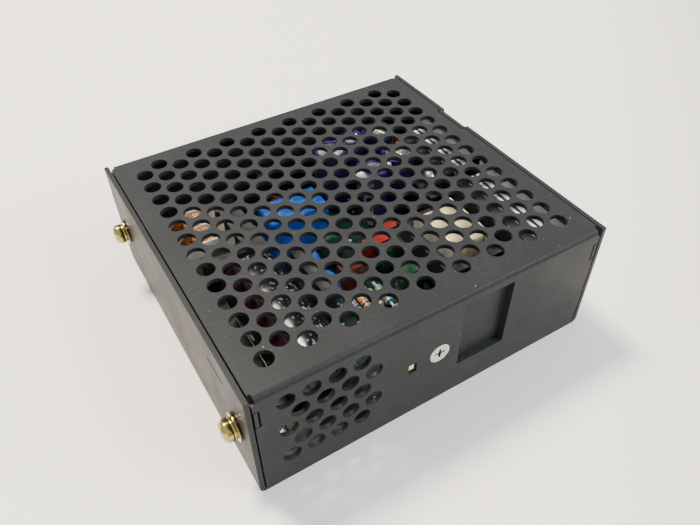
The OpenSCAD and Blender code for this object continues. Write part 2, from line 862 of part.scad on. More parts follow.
module transformer_core() {
    half = trafo_core_l / 2;
    color("dimgray") from_corner() for (side = [0, 1])
        translate([trafo_x, trafo_y, trafo_z]) mirror([side, 0, 0]) {
            translate([half - trafo_yoke, -trafo_core_w / 2, -trafo_core_h / 2])
                cube([trafo_yoke, trafo_core_w, trafo_core_h]);
            for (y = [-trafo_core_w / 2, trafo_core_w / 2 - trafo_limb])
                translate([0, y, -trafo_core_h / 2]) cube([half, trafo_limb, trafo_core_h]);
            translate([0, -trafo_leg / 2 + 0.1, -trafo_leg / 2 + 0.1])
                cube([half, trafo_leg - 0.2, trafo_leg - 0.2]);
        }
}

module transformer_bobbin() {
    len = trafo_core_l - 2 * trafo_yoke - 2 * fit;
    tube = trafo_leg + 2 * trafo_tube_t;
    color("saddlebrown") from_corner() translate([trafo_x - len / 2, trafo_y, trafo_z]) difference() {
        union() {
            translate([0, -tube / 2, -tube / 2]) cube([len, tube, tube]);
            for (x = [0, len - trafo_flange])
                translate([x, -trafo_wind / 2 - 0.7, -trafo_wind / 2 - 0.7])
                    cube([trafo_flange, trafo_wind + 1.4, trafo_wind + 1.4]);
        }
        translate([-eps, -trafo_leg / 2, -trafo_leg / 2]) cube([len + 2 * eps, trafo_leg, trafo_leg]);
    }
}

module transformer_windings() {
    len = trafo_core_l - 2 * trafo_yoke - 2 * fit - 2 * trafo_flange;
    tube = trafo_leg + 2 * trafo_tube_t;
    color("khaki") from_corner() translate([trafo_x - len / 2, trafo_y, trafo_z])
        rotate([90, 0, 90]) linear_extrude(len) difference() {
            translate([-trafo_wind / 2, -trafo_wind / 2]) square(trafo_wind);
            translate([-tube / 2, -tube / 2]) square(tube);
        }
}

module heatsink(place) {
    color("silver") from_corner() difference() {
        translate([sink_x, place[0], 0]) {
            translate([0, 0, top_z]) cube([sink_t, place[1], sink_z1 - top_z]);
            translate([0, 0, sink_z1 - sink_t]) cube([sink_flange, place[1], sink_t]);
            translate([sink_flange - sink_t, 0, sink_z1 - eps]) cube([sink_t, place[1], sink_lip + eps]);
        }
        for (y = semi_y) along_x(sink_x - eps, y, semi_hole_z) cylinder(r = thread_r, h = sink_t + 2 * eps);
    }
}

module input_heatsink() { heatsink(input_sink); }
module output_heatsink() { heatsink(output_sink); }

module power_semiconductors() {
    body_h = semi_h - 6;
    color("black") from_corner() for (y = semi_y) translate([sink_x, y, semi_z]) {
        difference() {
            translate([-semi_tab, -semi_w / 2, 0]) cube([semi_tab, semi_w, semi_h]);
            along_x(-semi_tab - eps, 0, semi_hole_z - semi_z) cylinder(r = washer_bore_r, h = semi_tab + 2 * eps);
        }
        translate([-semi_t, -semi_w / 2, 0]) cube([semi_t - semi_tab + eps, semi_w, body_h]);
        for (k = [-1 : 1]) translate([-semi_t / 2, k * 2.54, top_z - semi_z]) cylinder(r = lead_r, h = semi_z - top_z + eps);
    }
}

module heatsink_screws() {
    color("silver") from_corner() for (y = semi_y)
        along_x(sink_x - semi_tab, y, semi_hole_z) mirror([0, 0, 1]) pan_screw(semi_tab + sink_t + 0.6);
}

// Output side

module inductor_core() {
    color("gold") from_corner() translate([inductor[0], inductor[1], inductor_z])
        rotate_extrude() translate([inductor_ring_r, 0]) circle(r = inductor_ring_t);
}

module inductor_winding() {
    ring_r = inductor_ring_t + inductor_wire_r + 0.05;
    color("firebrick") from_corner() translate([inductor[0], inductor[1], inductor_z])
        for (k = [0 : inductor_turns - 1])
            rotate([0, 0, 360 * k / inductor_turns]) translate([inductor_ring_r, 0, 0]) rotate([90, 0, 0])
                rotate_extrude($fn = 32) translate([ring_r, 0]) circle(r = inductor_wire_r, $fn = 16);
}

module output_capacitor_cans() {
    color("silver") from_corner() for (c = out_caps) translate([c[0], c[1], top_z + 0.3])
        cylinder(r = c[2] - sleeve_t, h = out_cap_h - sleeve_t);
}

module output_capacitor_sleeves() {
    color("indigo") from_corner() for (c = out_caps) translate([c[0], c[1], top_z + 0.3]) difference() {
        cylinder(r = c[2], h = out_cap_h);
        translate([0, 0, -eps]) cylinder(r = c[2] - sleeve_t, h = out_cap_h - sleeve_t + eps);
        cylinder(r = c[2] - sleeve_lip, h = out_cap_h + eps);
    }
}

// Small parts

module film_box(p) {
    translate([p[0] - film_size[0] / 2, p[1] - film_size[1] / 2, top_z]) cube(film_size);
}

module film_capacitors() {
    color("firebrick") from_corner() {
        for (p = red_caps) film_box(p);
        for (p = green_caps) film_box(p);
        translate([orange_disc_at[0], orange_disc_at[1], 0]) rotate([0, 0, 90])
            coated_disc(3.6, 3, top_z + 11);
    }
}

module resistors() {
    color("tan") from_corner() for (row = resistor_rows, k = [0 : row[2] - 1])
        translate([row[0] + resistor_step * k, row[1], top_z + resistor_r + 0.2]) {
            along_y(0, -resistor_l / 2, 0) cylinder(r = resistor_r, h = resistor_l);
            along_y(0, -resistor_l / 2 - 2, 0) cylinder(r = lead_r, h = resistor_l + 4);
            for (y = [-resistor_l / 2 - 2, resistor_l / 2 + 2])
                translate([0, y, -resistor_r - 0.2]) cylinder(r = lead_r, h = resistor_r + 0.2);
        }
}

module control_chips() {
    color("black") from_corner() for (p = chips) translate([p[0], p[1], top_z]) {
        translate([-chip[0] / 2, -chip[1] / 2, 0.4]) cube(chip);
        for (k = [0 : 3], y = [-chip[1] / 2, chip[1] / 2])
            translate([-3.81 + 2.54 * k, y, 0]) cylinder(r = 0.35, h = 1.6);
    }
}

chassis();
cover();
front_screw();
foot_screws();
insulation_sheet();
circuit_board();
board_standoffs();
board_screws();
rail_foot();
rail_latch();
latch_spring();
side_screw_front();
spring_washer_front();
flat_washer_front();
side_screw_rear();
spring_washer_rear();
flat_washer_rear();
clinch_nuts();
terminal_block();
terminal_plates();
terminal_screw_1();
terminal_screw_2();
terminal_screw_3();
terminal_screw_4();
terminal_screw_5();
clamp_plate_1();
clamp_plate_2();
clamp_plate_3();
clamp_plate_4();
clamp_plate_5();
trimmer_body();
trimmer_rotor();
status_led();
led_holder();
bulk_capacitor_can();
bulk_capacitor_sleeve();
bulk_capacitor_bung();
choke_core();
choke_bobbin();
choke_windings();
line_capacitor();
safety_capacitors();
fuse_tube();
fuse_caps();
inrush_thermistor();
bridge_rectifier();
transformer_core();
transformer_bobbin();
transformer_windings();
input_heatsink();
output_heatsink();
power_semiconductors();
heatsink_screws();
inductor_core();
inductor_winding();
output_capacitor_cans();
output_capacitor_sleeves();
film_capacitors();
resistors();
control_chips();
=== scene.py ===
"""Slim vented power supply for a 35 mm rail: finishes and detailed pieces on its packed parts."""

import json
import math

import bpy
from bpy.props import FloatProperty, FloatVectorProperty, IntProperty, PointerProperty
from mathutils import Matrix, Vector

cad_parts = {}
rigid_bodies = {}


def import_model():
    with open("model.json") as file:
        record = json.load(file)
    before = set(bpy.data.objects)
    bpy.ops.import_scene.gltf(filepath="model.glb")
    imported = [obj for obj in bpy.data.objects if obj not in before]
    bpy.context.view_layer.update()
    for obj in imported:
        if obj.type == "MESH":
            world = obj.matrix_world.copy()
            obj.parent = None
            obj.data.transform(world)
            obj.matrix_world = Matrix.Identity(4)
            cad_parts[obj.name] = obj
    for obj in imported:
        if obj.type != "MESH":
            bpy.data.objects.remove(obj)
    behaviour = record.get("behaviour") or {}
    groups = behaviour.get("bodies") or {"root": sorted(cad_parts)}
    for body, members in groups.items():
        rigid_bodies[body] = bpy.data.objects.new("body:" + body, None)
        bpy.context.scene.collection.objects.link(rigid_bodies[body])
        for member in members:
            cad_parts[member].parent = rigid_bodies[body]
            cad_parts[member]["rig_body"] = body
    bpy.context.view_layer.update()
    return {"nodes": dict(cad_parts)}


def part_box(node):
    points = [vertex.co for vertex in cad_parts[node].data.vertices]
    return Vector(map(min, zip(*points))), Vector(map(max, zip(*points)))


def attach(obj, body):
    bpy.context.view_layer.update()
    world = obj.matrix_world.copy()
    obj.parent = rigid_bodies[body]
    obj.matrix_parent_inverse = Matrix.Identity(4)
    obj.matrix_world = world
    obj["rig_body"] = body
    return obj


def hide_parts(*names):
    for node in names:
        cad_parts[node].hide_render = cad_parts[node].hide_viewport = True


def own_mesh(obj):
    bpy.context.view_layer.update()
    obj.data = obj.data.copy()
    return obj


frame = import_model()

bl_info = {
    "name": "Rail power supply",
    "version": (1, 0, 0),
    "blender": (4, 5, 0),
    "location": "View3D > Sidebar > Supply",
    "description": "Finishes and detailed pieces for a slim vented power supply",
    "category": "Object",
}

MM = 0.001
# Slack for telling which solid a face belongs to, and for wire laid on a core
SKIN = 0.05 * MM
# Edges sharper than this are rounded
SHARP_ANGLE = math.radians(30)
# Edges flatter than this are shaded smooth
SMOOTH_ANGLE = math.radians(35)
# Corners closer than this are merged
MERGE = 0.002 * MM


# Properties


def length(name, description, millimetres):
    """A size in the scene's length unit."""
    return FloatProperty(
        name=name, description=description, default=millimetres * MM, subtype="DISTANCE", unit="LENGTH"
    )


def colour(name, description, value):
    """A linear colour."""
    return FloatVectorProperty(
        name=name, description=description, default=value, subtype="COLOR", size=3, min=0, max=1
    )


class CaseSettings(bpy.types.PropertyGroup):
    """The painted sheet-metal case."""

    paint: colour("Paint", "Satin paint of the cover and chassis", (0.0205, 0.0214, 0.0216))
    dust: colour("Dust", "Specks that stick to the paint", (0.42, 0.42, 0.40))
    edge: length("Sheet edge", "Rounding of the cut edges of the sheet metal", 0.12)


class HardwareSettings(bpy.types.PropertyGroup):
    """Screws, washers and nuts."""

    zinc: colour("White zinc", "Clear passivated zinc of the front screw", (0.80, 0.78, 0.68))
    chromate: colour("Yellow zinc", "Yellow passivated zinc of the side screws", (0.52, 0.40, 0.12))
    edge: length("Hardware edge", "Rounding of the edges of screws and washers", 0.09)


class WindingSettings(bpy.types.PropertyGroup):
    """Coils and the transformer."""

    copper: colour("Copper", "Enamelled copper wire of the mains choke", (0.95, 0.42, 0.16))
    choke_wire: length("Choke wire", "Diameter of the choke's wire", 0.62)
    ring_wire: length("Ring wire", "Diameter of the wire on the output choke", 0.9)
    ring_turns: IntProperty(name="Ring turns", description="Turns on the output choke", default=18, min=6)
    tape: colour("Tape", "Polyester tape round the transformer", (0.86, 0.74, 0.38))


class CapacitorSettings(bpy.types.PropertyGroup):
    """Electrolytic, film and disc capacitors."""

    black_sleeve: colour("Main sleeve", "Sleeve of the main capacitor", (0.012, 0.011, 0.012))
    maroon: colour("Main stripe", "Dark red band of the main capacitor's sleeve", (0.016, 0.004, 0.007))
    violet_sleeve: colour("Output sleeve", "Sleeve of the output capacitors", (0.030, 0.018, 0.110))
    blue: colour("Blue", "Blue line capacitor and discs", (0.012, 0.150, 0.720))
    red: colour("Red", "Red film capacitors", (0.420, 0.030, 0.018))
    green: colour("Green", "Green film capacitors", (0.018, 0.085, 0.035))
    orange: colour("Orange", "Orange disc capacitor", (0.700, 0.170, 0.020))
    groove: length("Vent groove", "Width of the vent grooves in a can's top", 0.35)


class WiringSettings(bpy.types.PropertyGroup):
    """Terminal block, rail foot, latch and trimmer."""

    block: colour("Block", "Moulded nylon of the terminal block", (0.018, 0.018, 0.018))
    foot: colour("Foot", "Moulded nylon of the rail foot", (0.030, 0.031, 0.032))
    edge: length("Moulded edge", "Rounding of moulded edges", 0.22)
    spring_turns: IntProperty(name="Spring turns", description="Turns of the latch spring", default=6, min=3)
    spring_wire: length("Spring wire", "Diameter of the latch spring's wire", 0.5)


class StudioSettings(bpy.types.PropertyGroup):
    """Table, lights and camera."""

    table: colour("Table", "Pale table top", (0.91, 0.85, 0.785))
    sky: colour("Surround", "Even light of the room", (0.85, 0.94, 1.0))
    sky_strength: FloatProperty(name="Surround strength", description="Brightness of the room", default=1.0)
    key_power: FloatProperty(
        name="Key power", description="Power of the small bright light", default=46.0, unit="POWER"
    )
    fill_power: FloatProperty(
        name="Fill power", description="Power of the weak light in front", default=25.0, unit="POWER"
    )
    glint_power: FloatProperty(
        name="Glint power", description="Power of the tiny front light", default=2.0, unit="POWER"
    )
    lens: FloatProperty(name="Lens", description="Focal length of the camera in mm", default=34.08)


# Finishes


class Finish:
    """One shader with patterns in the object's own coordinates. Grain sizes are in millimetres."""

    def __init__(self, name, base, metallic=0.0, roughness=0.5, **sockets):
        self.material = bpy.data.materials.new(name)
        self.material.use_nodes = True
        self.nodes = self.material.node_tree.nodes
        self.links = self.material.node_tree.links
        self.shader = self.nodes["Principled BSDF"]
        self.shader.inputs["Base Color"].default_value = (*base, 1)
        self.shader.inputs["Metallic"].default_value = metallic
        self.shader.inputs["Roughness"].default_value = roughness
        for socket, value in sockets.items():
            self.shader.inputs[socket.replace("_", " ")].default_value = value
        self.base = (*base, 1)
        self.relief = None
        self.place = self.nodes.new("ShaderNodeTexCoord").outputs["Object"]

    def seen_from(self, centre=(0, 0, 0), turn=(0, 0, 0), stretch=(1, 1, 1)):
        """The coordinates centred, turned and stretched."""
        node = self.nodes.new("ShaderNodeMapping")
        node.vector_type = "TEXTURE"
        node.inputs["Location"].default_value = centre
        node.inputs["Rotation"].default_value = turn
        node.inputs["Scale"].default_value = stretch
        self.links.new(self.place, node.inputs["Vector"])
        return node.outputs["Vector"]

    def noise(self, grain, detail=2.0, place=None):
        """Cloudy pattern whose lumps are about one grain across."""
        node = self.nodes.new("ShaderNodeTexNoise")
        node.inputs["Scale"].default_value = 1 / (grain * MM)
        node.inputs["Detail"].default_value = detail
        self.links.new(place or self.place, node.inputs["Vector"])
        return node.outputs["Fac"]

    def math(self, operation, first, second):
        """A sum, product or comparison of two values."""
        node = self.nodes.new("ShaderNodeMath")
        node.operation = operation
        for socket, value in zip(node.inputs, (first, second)):
            if isinstance(value, (int, float)):
                socket.default_value = value
            else:
                self.links.new(value, socket)
        return node.outputs[0]

    def along(self, axis, place=None):
        """The position along one axis, in metres."""
        node = self.nodes.new("ShaderNodeSeparateXYZ")
        self.links.new(place or self.place, node.inputs[0])
        return node.outputs[axis]

    def specks(self, spacing, radius, share):
        """Small round spots, one in some of the cells of a random grid."""
        node = self.nodes.new("ShaderNodeTexVoronoi")
        node.inputs["Scale"].default_value = 1 / (spacing * MM)
        self.links.new(self.place, node.inputs["Vector"])
        split = self.nodes.new("ShaderNodeSeparateColor")
        self.links.new(node.outputs["Color"], split.inputs[0])
        spot = self.math("LESS_THAN", node.outputs["Distance"], radius / spacing)
        return self.math("MULTIPLY", spot, self.math("LESS_THAN", split.outputs[0], share))

    def between(self, value, low, high, out_low=0.0, out_high=1.0):
        """A value spread from one range to another."""
        node = self.nodes.new("ShaderNodeMapRange")
        ends = {"From Min": low, "From Max": high, "To Min": out_low, "To Max": out_high}
        for name, number in ends.items():
            node.inputs[name].default_value = number
        self.links.new(value, node.inputs["Value"])
        return node.outputs["Result"]

    def layer(self, mask, tone):
        """Lays a tone over the base colour where the mask is white."""
        node = self.nodes.new("ShaderNodeMix")
        node.data_type = "RGBA"
        if isinstance(self.base, tuple):
            node.inputs["A"].default_value = self.base
        else:
            self.links.new(self.base, node.inputs["A"])
        node.inputs["B"].default_value = (*tone, 1)
        self.links.new(mask, node.inputs["Factor"])
        self.base = node.outputs["Result"]
        self.links.new(self.base, self.shader.inputs["Base Color"])
        return self

    def mottle(self, grain, tone, low=0.35, high=0.65, detail=3.0):
        """Clouds of a second tone."""
        return self.layer(self.between(self.noise(grain, detail), low, high), tone)

    def polish(self, grain, smooth, rough, place=None):
        """Roughness that drifts between two values."""
        value = self.between(self.noise(grain, 3.0, place), 0.3, 0.7, smooth, rough)
        self.links.new(value, self.shader.inputs["Roughness"])
        return self

    def emboss(self, value, height, strength=1.0):
        """Relief of a height in millimetres, on top of any earlier relief."""
        node = self.nodes.new("ShaderNodeBump")
        node.inputs["Strength"].default_value = strength
        node.inputs["Distance"].default_value = height * MM
        self.links.new(value, node.inputs["Height"])
        if self.relief:
            self.links.new(self.relief, node.inputs["Normal"])
        self.relief = node.outputs["Normal"]
        self.links.new(self.relief, self.shader.inputs["Normal"])
        return self

    def brushed(self, stretch, grain, height):
        """Fine lines along one axis."""
        place = self.seen_from(stretch=stretch)
        return self.emboss(self.noise(grain, 2.0, place), height)


def shade(tone, factor):
    """A darker or lighter tone."""
    return tuple(min(1.0, part * factor) for part in tone)


def satin_paint(settings):
    """Powder paint with a fine skin, faint scuffs and dust."""
    f = Finish("satin_paint", settings.paint, roughness=0.42, Specular_IOR_Level=0.09)
    f.mottle(16, shade(settings.paint, 1.22), 0.3, 0.7)
    f.mottle(1.1, shade(settings.paint, 0.88), 0.45, 0.75)
    scuff = f.noise(0.5, 2.0, f.seen_from(turn=(0.3, 0.2, 0.7), stretch=(60, 1, 1)))
    f.layer(f.between(scuff, 0.74, 0.80, 0.0, 0.35), shade(settings.paint, 2.6))
    f.layer(f.specks(1.3, 0.07, 0.10), settings.dust)
    f.layer(f.specks(4.3, 0.14, 0.10), settings.dust)
    f.polish(9, 0.38, 0.47)
    f.emboss(f.noise(0.42), 0.010)
    return f.emboss(f.noise(0.09), 0.003).material


def chromated_zinc(settings):
    """Yellow passivated zinc with a rainbow film."""
    f = Finish("chromated_zinc", settings.chromate, metallic=1.0, roughness=0.22)
    f.mottle(1.1, (0.28, 0.18, 0.06))
    f.mottle(0.7, (0.36, 0.40, 0.16), 0.52, 0.72)
    f.polish(0.6, 0.08, 0.22)
    return f.emboss(f.noise(0.22), 0.006).material


def clear_zinc(settings):
    """Bright zinc with small stains."""
    f = Finish("clear_zinc", settings.zinc, metallic=1.0, roughness=0.26)
    f.mottle(0.9, shade(settings.zinc, 0.78), 0.42, 0.72)
    f.polish(0.5, 0.18, 0.38)
    return f.emboss(f.noise(0.2), 0.006).material


def bare_steel():
    """Spring steel with drawing marks."""
    f = Finish("bare_steel", (0.52, 0.52, 0.53), metallic=1.0, roughness=0.3)
    f.mottle(0.7, (0.36, 0.36, 0.38))
    f.polish(0.5, 0.22, 0.42)
    return f.emboss(f.noise(0.12), 0.004).material


def tinned_brass():
    """Tin with soft scratches."""
    f = Finish("tinned_brass", (0.78, 0.77, 0.74), metallic=1.0, roughness=0.34)
    f.mottle(1.6, (0.60, 0.59, 0.56))
    f.polish(1.2, 0.26, 0.46)
    return f.brushed((1, 14, 1), 0.25, 0.004).material


def moulded(name, tone, shine=0.42):
    """Moulded nylon with a spark-eroded skin and faint flow marks."""
    f = Finish(name, tone, roughness=shine)
    f.mottle(6, shade(tone, 1.3), 0.35, 0.75)
    f.polish(4, shine - 0.06, shine + 0.08)
    return f.emboss(f.noise(0.16), 0.009).material


def solder_mask():
    """Green lacquer over copper tracks, with tinned pads and white outlines."""
    f = Finish("solder_mask", (0.002, 0.020, 0.011), roughness=0.28)
    tracks = f.nodes.new("ShaderNodeTexBrick")
    tracks.inputs["Scale"].default_value = 1.0
    for socket, size in (("Brick Width", 9.0), ("Row Height", 3.1), ("Mortar Size", 0.42)):
        tracks.inputs[socket].default_value = size * MM
    f.links.new(f.place, tracks.inputs["Vector"])
    gap = tracks.outputs["Fac"]
    f.mottle(5, (0.003, 0.030, 0.015))
    f.layer(gap, (0.001, 0.010, 0.006))
    f.layer(f.specks(2.6, 0.55, 0.45), (0.62, 0.60, 0.55))
    f.emboss(gap, 0.03, 0.6)
    return f.emboss(f.noise(0.3), 0.006).material


def polyester_film():
    """Milky insulation film."""
    f = Finish("polyester_film", (0.60, 0.62, 0.60), roughness=0.22)
    f.mottle(12, (0.50, 0.53, 0.52))
    return f.emboss(f.noise(7, 1.0), 0.08).material


def sintered_ferrite():
    """Dark ground ferrite."""
    f = Finish("sintered_ferrite", (0.020, 0.019, 0.019), roughness=0.5)
    f.mottle(0.5, (0.034, 0.032, 0.031))
    f.polish(0.8, 0.38, 0.6)
    return f.emboss(f.noise(0.15), 0.015).material


def enamelled_wire(name, tone):
    """Lacquered copper."""
    f = Finish(name, tone, metallic=1.0, roughness=0.2, Coat_Weight=0.6, Coat_Roughness=0.08)
    f.mottle(1.4, shade(tone, 0.72))
    return f.polish(0.8, 0.14, 0.32).material


def wrapped_tape(tone):
    """Layers of glossy tape, with the edges of the turns showing."""
    f = Finish("wrapped_tape", tone, roughness=0.24, Coat_Weight=0.3)
    f.mottle(4, shade(tone, 0.80))
    edge = f.noise(0.5, 1.0, f.seen_from(stretch=(1, 30, 30)))
    f.layer(f.between(edge, 0.55, 0.62, 0.0, 0.4), shade(tone, 0.6))
    return f.emboss(edge, 0.05).material


def dipped_epoxy(name, tone, gloss=0.16):
    """Dipped or cast epoxy with a wavy skin."""
    f = Finish(name, tone, roughness=gloss, Coat_Weight=0.4, Coat_Roughness=0.05)
    f.mottle(3, shade(tone, 0.72))
    f.polish(2, gloss - 0.04, gloss + 0.10)
    return f.emboss(f.noise(1.6), 0.06).material


def shrink_sleeve(name, tone):
    """Glossy sleeve drawn tight on its can."""
    f = Finish(name, tone, roughness=0.2, Coat_Weight=0.12, Coat_Roughness=0.08)
    f.mottle(5, shade(tone, 1.5), 0.4, 0.8)
    f.polish(3, 0.16, 0.30)
    return f.emboss(f.noise(2.2, 1.0), 0.04).material


def drawn_aluminium(name, stretch, tone=(0.80, 0.80, 0.81)):
    """Aluminium with rolling or turning lines."""
    f = Finish(name, tone, metallic=1.0, roughness=0.3)
    f.mottle(3, shade(tone, 0.82))
    f.polish(0.4, 0.22, 0.42, f.seen_from(stretch=stretch))
    return f.brushed(stretch, 0.14, 0.005).material


def painted_shade_sheet(start, bright_strips):
    """Painted shade: a near-black sheet standing in for the shade inside the case, with pale strips, painted
    highlights, at distances from a start along X.
    """
    half_strip = 0.45 * MM
    f = Finish("painted_shade_sheet", (0.016, 0.016, 0.017), roughness=0.4)
    f.mottle(6, (0.024, 0.024, 0.025))
    across = f.along(0)
    for gap in bright_strips:
        distance = f.math("ABSOLUTE", f.math("SUBTRACT", across, start + gap * MM), 0)
        # Painted highlight: a pale strip across the painted shade
        f.layer(f.math("LESS_THAN", distance, half_strip), (0.85, 0.85, 0.86))
    return f.emboss(f.noise(0.5), 0.01).material


def core_lacquer():
    """Yellow and white lacquer of a powder core."""
    f = Finish("core_lacquer", (0.62, 0.50, 0.06), roughness=0.4)
    f.mottle(2, (0.70, 0.62, 0.30))
    return f.emboss(f.noise(0.4), 0.02).material


def banded_body(name, tone, centre, half):
    """Resistor lacquer with colour bands across its length along Y, and bare tinned ends."""
    f = Finish(name, tone, roughness=0.35, Coat_Weight=0.3)
    across = f.along(1, f.seen_from(centre=centre))
    band_half = half * 0.1
    bands = (
        (-0.62, (0.30, 0.10, 0.02)),
        (-0.25, (0.01, 0.01, 0.01)),
        (0.12, (0.60, 0.08, 0.01)),
        (0.6, (0.55, 0.38, 0.08)),
    )
    for share, band in bands:
        distance = f.math("ABSOLUTE", f.math("SUBTRACT", across, share * half), 0)
        f.layer(f.math("LESS_THAN", distance, band_half), band)
    reach = f.math("ABSOLUTE", across, 0)
    f.layer(f.math("GREATER_THAN", reach, half + 0.02 * MM), (0.62, 0.61, 0.58))
    f.polish(1, 0.28, 0.42)
    return f.emboss(f.noise(0.5), 0.02).material


def clear_glass():
    """Glass of the fuse."""
    f = Finish("clear_glass", (0.86, 0.92, 0.90), roughness=0.03, Transmission_Weight=1.0)
    f.mottle(3, (0.80, 0.88, 0.86))
    return f.emboss(f.noise(2, 1.0), 0.01).material


def lamp_epoxy():
    """Diffused pale epoxy of the status lamp."""
    f = Finish("lamp_epoxy", (0.62, 0.74, 0.14), roughness=0.25, Transmission_Weight=0.15)
    f.mottle(0.9, (0.80, 0.88, 0.42))
    return f.emboss(f.noise(0.5), 0.02).material


def printed_mark():
    """Pale ink of a polarity stripe."""
    f = Finish("printed_mark", (0.46, 0.44, 0.50), roughness=0.3)
    f.mottle(0.6, (0.36, 0.34, 0.42))
    dash = f.noise(2.4, 0.0, f.seen_from(stretch=(4, 1, 1)))
    f.layer(f.between(dash, 0.58, 0.60), (0.03, 0.02, 0.06))
    return f.emboss(f.noise(0.3), 0.004).material


def sleeve_print(tone):
    """Small pale marks printed on a dark sleeve."""
    f = Finish("sleeve_print", tone, roughness=0.3, Specular_IOR_Level=0.3)
    mark = f.noise(0.8, 1.0, f.seen_from(stretch=(1, 1.7, 1)))
    f.layer(f.between(mark, 0.60, 0.62), (0.34, 0.32, 0.35))
    return f.emboss(f.noise(2.2, 1.0), 0.04).material


def silicone():
    """White fixing silicone."""
    f = Finish("silicone", (0.80, 0.80, 0.77), roughness=0.35, Subsurface_Weight=0.1)
    f.mottle(1.5, (0.66, 0.66, 0.62))
    return f.emboss(f.noise(0.9), 0.05).material


# Shaping


def only(piece):
    """Selects one object and nothing else."""
    bpy.ops.object.select_all(action="DESELECT")
    piece.select_set(True)
    bpy.context.view_layer.objects.active = piece


def apply_modifier(piece, name, kind, **values):
    """Adds a modifier, sets it and applies it."""
    modifier = piece.modifiers.new(name, kind)
    for key, value in values.items():
        setattr(modifier, key, value)
    only(piece)
    bpy.ops.object.modifier_apply(modifier=name)


def apply_place(piece, turn=(0, 0, 0), move=(0, 0, 0)):
    """Turns and moves a piece, and keeps that in its mesh."""
    only(piece)
    piece.rotation_euler = turn
    piece.location = Vector(piece.location) + Vector(move)
    bpy.ops.object.transform_apply(location=True, rotation=True, scale=True)


def joined(pieces, name):
    """Several pieces as one mesh."""
    bpy.ops.object.select_all(action="DESELECT")
    for piece in pieces:
        piece.select_set(True)
    bpy.context.view_layer.objects.active = pieces[0]
    if len(pieces) > 1:
        bpy.ops.object.join()
    pieces[0].name = name
    return pieces[0]


def clean_copy(node, name):
    """A CAD node's shape as a new piece, its corners merged and its flat faces whole."""
    piece = bpy.data.objects.new(name, frame["nodes"][node].data.copy())
    bpy.context.scene.collection.objects.link(piece)
    only(piece)
    bpy.ops.mesh.customdata_custom_splitnormals_clear()
    bpy.ops.object.mode_set(mode="EDIT")
    bpy.ops.mesh.select_all(action="SELECT")
    bpy.ops.mesh.remove_doubles(threshold=MERGE)
    bpy.ops.mesh.dissolve_limited(angle_limit=math.radians(1))
    bpy.ops.object.mode_set(mode="OBJECT")
    return piece


def round_edges(piece, edge, segments=2):
    """Rounds the sharp edges of a piece, smooths its curves and keeps its flat faces flat."""
    apply_modifier(
        piece, "edges", "BEVEL", width=edge, segments=segments,
        limit_method="ANGLE", angle_limit=SHARP_ANGLE,
    )
    only(piece)
    bpy.ops.object.shade_smooth_by_angle(angle=SMOOTH_ANGLE)
    apply_modifier(piece, "flat_faces", "WEIGHTED_NORMAL", keep_sharp=True, weight=100)


def close_ends(piece):
    """Fills the open ends of a wire."""
    only(piece)
    bpy.ops.object.mode_set(mode="EDIT")
    bpy.ops.mesh.select_all(action="SELECT")
    bpy.ops.mesh.fill_holes(sides=0)
    bpy.ops.mesh.select_all(action="SELECT")
    bpy.ops.mesh.normals_make_consistent(inside=False)
    bpy.ops.object.mode_set(mode="OBJECT")


def wound_wire(name, coil_r, wire_r, pitch, turns, steps=32, sides=8):
    """A helix of round wire about Y, from y = 0 upwards."""
    bpy.ops.object.select_all(action="DESELECT")
    bpy.ops.mesh.primitive_circle_add(vertices=sides, radius=wire_r, location=(0, 0, 0))
    piece = bpy.context.object
    piece.name = name
    bpy.ops.object.mode_set(mode="EDIT")
    bpy.ops.transform.translate(value=(coil_r, 0, 0))
    bpy.ops.object.mode_set(mode="OBJECT")
    apply_modifier(
        piece, "turns", "SCREW", axis="Y", angle=math.tau, screw_offset=pitch, iterations=turns,
        steps=steps, render_steps=steps, use_merge_vertices=False,
    )
    close_ends(piece)
    bpy.ops.object.shade_smooth()
    return piece


def solid_boxes(node):
    """The lowest and highest corners of each separate solid of a CAD node."""
    clean_copy(node, "measured")
    bpy.ops.object.mode_set(mode="EDIT")
    bpy.ops.mesh.select_all(action="SELECT")
    bpy.ops.mesh.separate(type="LOOSE")
    bpy.ops.object.mode_set(mode="OBJECT")
    boxes = []
    for part in list(bpy.context.selected_objects):
        corners = [v.co for v in part.data.vertices]
        low = Vector(min(c[i] for c in corners) for i in range(3))
        high = Vector(max(c[i] for c in corners) for i in range(3))
        boxes.append((low, high))
        bpy.data.objects.remove(part)
    return sorted(boxes, key=lambda box: tuple(box[0]))


# Fitting finishes to the frame


def fit(piece, material, *nodes):
    """Gives a finished piece its material, and puts it in the place of CAD nodes."""
    piece.data.materials.clear()
    piece.data.materials.append(material)
    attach(piece, frame["nodes"][nodes[0]]["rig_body"])
    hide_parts(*nodes)
    return piece


def rounded(node, edge, material, segments=2):
    """Replaces a CAD node by the same shape with its edges rounded."""
    piece = clean_copy(node, node + "_finished")
    round_edges(piece, edge, segments)
    return fit(piece, material, node)


def by_solid(piece, boxes, materials):
    """Gives each separate solid of a piece its own material."""
    for material in materials[1:]:
        piece.data.materials.append(material)
    for face in piece.data.polygons:
        for n, (low, high) in enumerate(boxes):
            if all(low[i] - SKIN < face.center[i] < high[i] + SKIN for i in (0, 1)):
                face.material_index = n


def coat(material, *nodes):
    """Gives CAD nodes that keep their own mesh a finish."""
    for node in nodes:
        frame["nodes"][node].material_slots[0].material = material


# Operators


class SUPPLY_OT_case(bpy.types.Operator):
    """Paint the chassis and the vented cover, and round their sheet edges"""

    bl_idname = "supply.case"
    bl_label = "Case"

    def execute(self, context):
        settings = context.scene.supply_case
        paint = satin_paint(settings)
        rounded("cover", settings.edge, paint)
        rounded("chassis", settings.edge, paint)
        coat(polyester_film(), "insulation_sheet")
        return {"FINISHED"}


